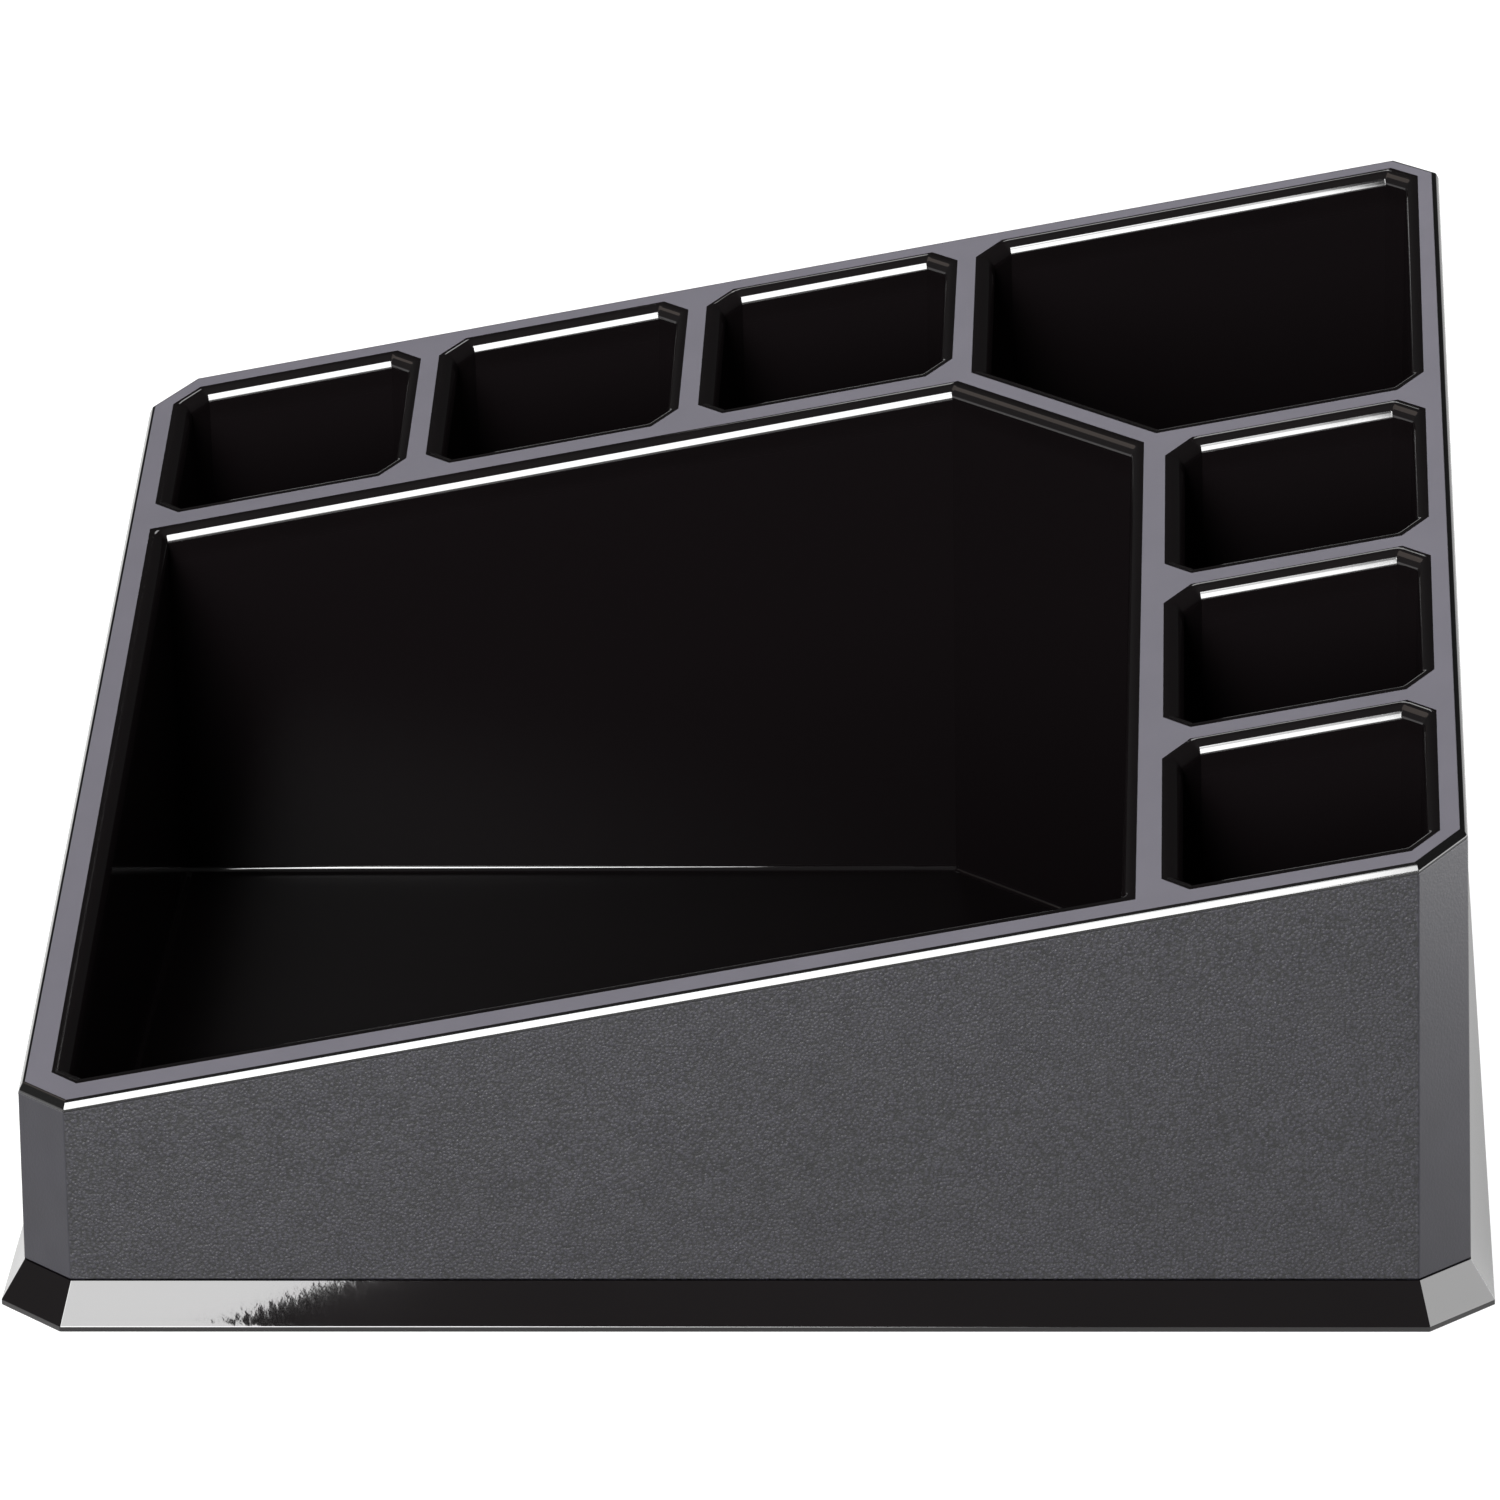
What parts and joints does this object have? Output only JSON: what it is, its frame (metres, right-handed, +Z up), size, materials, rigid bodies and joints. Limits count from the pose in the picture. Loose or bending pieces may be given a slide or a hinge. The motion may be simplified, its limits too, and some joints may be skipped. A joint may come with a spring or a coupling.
{
  "type": "desk organizer",
  "caption": "Square desk organizer with a deck that rises to one back corner, a large bin, a corner bin and pen cups.",
  "frame": {"origin": "on the table, at the middle of the footprint", "axes": "+Z up, +X to the right, +Y to the back; the deck rises towards +X and +Y alike"},
  "size_m": [0.2376, 0.2376, 0.1199],
  "materials": {
    "deck_matte": "fine matte, polished at the bevelled edge",
    "sleeve_grain": "fine leather grain",
    "gloss_black": "polished",
    "base_matte": "matte",
    "foot_rubber": "soft matte",
    "screw_steel": "zinc plated"
  },
  "bodies": {
    "root": {"base_plate": "base_matte", "corner_bin": "gloss_black", "deck": "deck_matte", "foot_1": "foot_rubber", "foot_2": "foot_rubber", "foot_3": "foot_rubber", "foot_4": "foot_rubber", "main_bin": "gloss_black", "outer_sleeve": "sleeve_grain", "plinth": "gloss_black", "rear_cup_left": "gloss_black", "rear_cup_middle": "gloss_black", "rear_cup_right": "gloss_black", "screw_1": "screw_steel", "screw_2": "screw_steel", "screw_3": "screw_steel", "screw_4": "screw_steel", "screw_5": "screw_steel", "screw_6": "screw_steel", "screw_7": "screw_steel", "screw_8": "screw_steel", "side_cup_back": "gloss_black", "side_cup_front": "gloss_black", "side_cup_middle": "gloss_black"}
  },
  "joints": []
}
